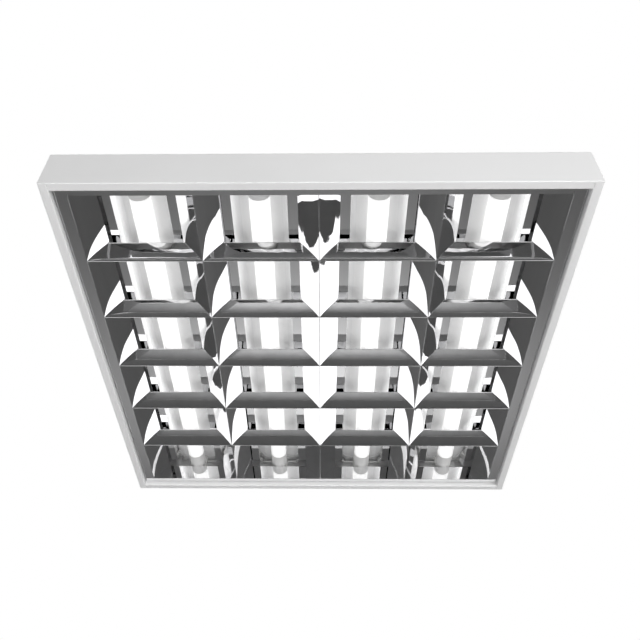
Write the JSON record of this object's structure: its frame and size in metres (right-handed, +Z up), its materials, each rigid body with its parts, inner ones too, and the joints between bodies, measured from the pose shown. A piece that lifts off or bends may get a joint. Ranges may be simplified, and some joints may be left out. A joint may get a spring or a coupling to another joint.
{
  "type": "recessed troffer light",
  "caption": "Square recessed ceiling luminaire with straight tube lamps, mirror reflectors and a hinged mirror louvre in a white steel housing.",
  "frame": {"origin": "centre of the bottom rim's plane, below the middle of the housing", "axes": "+X to the right and +Y to the rear along the lamps, +Z up towards the ceiling void; the light shines down, towards -Z"},
  "size_m": [0.62, 0.62, 0.059],
  "materials": {
    "white_paint": "white powder coat, satin",
    "mirror_aluminium": "bright anodised, mirror polished",
    "rivet_aluminium": "plain, satin",
    "lamp_glass": "glass coated white inside, opaque",
    "lamp_cap_plastic": "light grey plastic, satin",
    "contact_brass": "nickel-coloured brass",
    "holder_plastic": "white, satin",
    "wire_sleeve": "white sleeving",
    "gear_case": "white paint",
    "terminal_plastic": "white",
    "grommet_rubber": "black",
    "plated_steel": "zinc plated",
    "spring_steel": "bare spring steel"
  },
  "bodies": {
    "housing": {"frame_left": "white_paint", "frame_right": "white_paint", "frame_front": "white_paint", "frame_rear": "white_paint", "back_pan": "white_paint", "frame_rivets": "rivet_aluminium", "upper_reflector_left": "mirror_aluminium", "upper_reflector_centre": "mirror_aluminium", "upper_reflector_right": "mirror_aluminium", "upper_reflector_outer_left": "mirror_aluminium", "upper_reflector_outer_right": "mirror_aluminium", "reflector_rivets": "rivet_aluminium", "lampholder_front_1": "holder_plastic", "lampholder_front_2": "holder_plastic", "lampholder_front_3": "holder_plastic", "lampholder_front_4": "holder_plastic", "lampholder_rear_1": "holder_plastic", "lampholder_rear_2": "holder_plastic", "lampholder_rear_3": "holder_plastic", "lampholder_rear_4": "holder_plastic", "internal_wiring": "wire_sleeve", "ballast": "gear_case", "terminal_block": "terminal_plastic", "cable_grommet": "grommet_rubber", "gear_screws": "plated_steel", "hinge_brackets": "plated_steel", "hinge_pins": "plated_steel", "latch_clips": "plated_steel"},
    "louvre": {"vee_left": "mirror_aluminium", "vee_centre": "mirror_aluminium", "vee_right": "mirror_aluminium", "side_reflector_left": "mirror_aluminium", "side_reflector_right": "mirror_aluminium", "end_reflector_front": "mirror_aluminium", "end_reflector_rear": "mirror_aluminium", "cross_blades_1": "mirror_aluminium", "cross_blades_2": "mirror_aluminium", "cross_blades_3": "mirror_aluminium", "cross_blades_4": "mirror_aluminium", "cross_blades_5": "mirror_aluminium", "hinge_knuckles": "plated_steel", "latch_strikers": "plated_steel"},
    "lamp_1": {"lamp_tube_1": "lamp_glass", "lamp_caps_1": "lamp_cap_plastic", "lamp_pins_1": "contact_brass", "lamp_rotors_1": "holder_plastic"},
    "lamp_2": {"lamp_tube_2": "lamp_glass", "lamp_caps_2": "lamp_cap_plastic", "lamp_pins_2": "contact_brass", "lamp_rotors_2": "holder_plastic"},
    "lamp_3": {"lamp_tube_3": "lamp_glass", "lamp_caps_3": "lamp_cap_plastic", "lamp_pins_3": "contact_brass", "lamp_rotors_3": "holder_plastic"},
    "lamp_4": {"lamp_tube_4": "lamp_glass", "lamp_caps_4": "lamp_cap_plastic", "lamp_pins_4": "contact_brass", "lamp_rotors_4": "holder_plastic"},
    "latch_front": {"latch_spring_front": "spring_steel"},
    "latch_rear": {"latch_spring_rear": "spring_steel"}
  },
  "joints": [
    {"name": "louvre_swing", "type": "hinge", "parent": "housing", "child": "louvre", "pos_m": [-0.2915, 0, 0.011], "axis": [0, 1, 0], "range_deg": [0, 90]},
    {"name": "lamp_1_turn", "type": "hinge", "parent": "housing", "child": "lamp_1", "pos_m": [-0.213, 0, 0.0449], "axis": [0, 1, 0], "range_deg": [0, 90]},
    {"name": "lamp_2_turn", "type": "hinge", "parent": "housing", "child": "lamp_2", "pos_m": [-0.071, 0, 0.0449], "axis": [0, 1, 0], "range_deg": [0, 90]},
    {"name": "lamp_3_turn", "type": "hinge", "parent": "housing", "child": "lamp_3", "pos_m": [0.071, 0, 0.0449], "axis": [0, 1, 0], "range_deg": [0, 90]},
    {"name": "lamp_4_turn", "type": "hinge", "parent": "housing", "child": "lamp_4", "pos_m": [0.213, 0, 0.0449], "axis": [0, 1, 0], "range_deg": [0, 90]},
    {"name": "latch_front_flex", "type": "hinge", "parent": "housing", "child": "latch_front", "pos_m": [0.307, -0.19, 0.031], "axis": [0, -1, 0], "range_deg": [0, 16], "stiffness_Nm_per_rad": 1.7},
    {"name": "latch_rear_flex", "type": "hinge", "parent": "housing", "child": "latch_rear", "pos_m": [0.307, 0.19, 0.031], "axis": [0, -1, 0], "range_deg": [0, 16], "stiffness_Nm_per_rad": 1.7}
  ]
}
